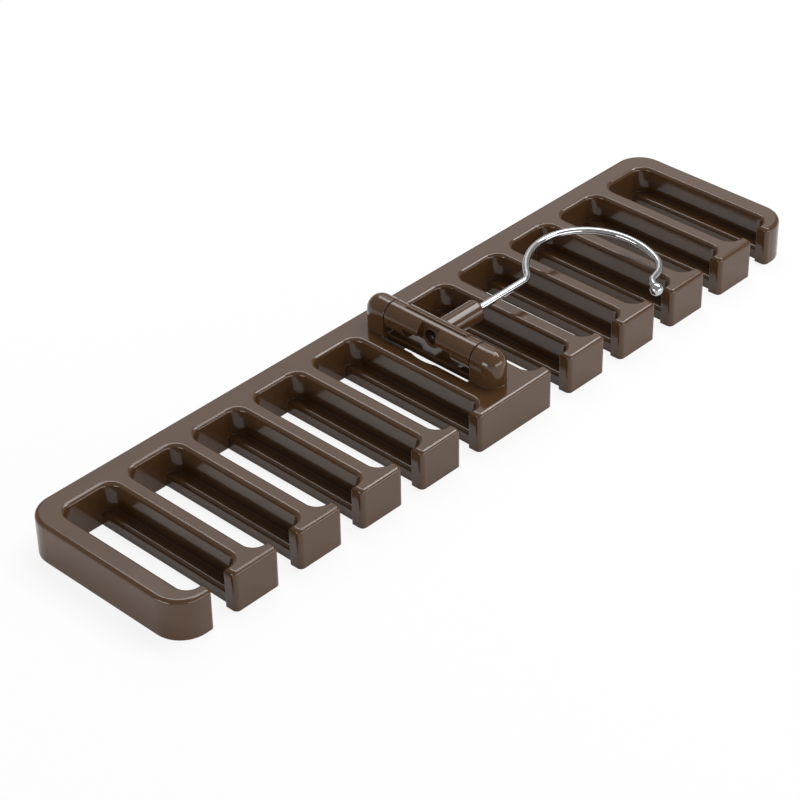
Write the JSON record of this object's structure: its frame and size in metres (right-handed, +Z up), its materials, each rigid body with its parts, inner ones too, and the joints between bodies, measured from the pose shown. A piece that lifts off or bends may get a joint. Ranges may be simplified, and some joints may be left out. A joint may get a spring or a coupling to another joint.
{
  "type": "folding tie hanger",
  "caption": "Flat slotted comb of brown plastic that holds ties over its ribs, with a chromed wire hook that folds flat and swivels.",
  "frame": {"origin": "middle of the comb's flat underside", "axes": "+X along the comb, towards the side that the folded hook lies on; +Y towards the spine, away from the teeth; +Z up, out of the comb's top face"},
  "size_m": [0.305, 0.073, 0.0276],
  "materials": {
    "comb_plastic": "glossy moulded",
    "pivot_plastic": "glossy moulded",
    "wire_chrome": "polished plating",
    "ball_chrome": "polished plating",
    "washer_steel": "zinc plated"
  },
  "bodies": {
    "comb": {"comb": "comb_plastic"},
    "pivot": {"pivot_bar": "pivot_plastic"},
    "hook": {"wire_washer": "washer_steel", "hook_wire": "wire_chrome", "hook_ball": "ball_chrome"}
  },
  "joints": [
    {"name": "bar_fold", "type": "hinge", "parent": "comb", "child": "pivot", "pos_m": [0, 0, 0.0219], "axis": [0, -1, 0], "range_deg": [0, 90]},
    {"name": "hook_swivel", "type": "hinge", "parent": "pivot", "child": "hook", "pos_m": [0.012, 0, 0.0219], "axis": [-1, 0, 0], "range_deg": [0, 35]}
  ]
}
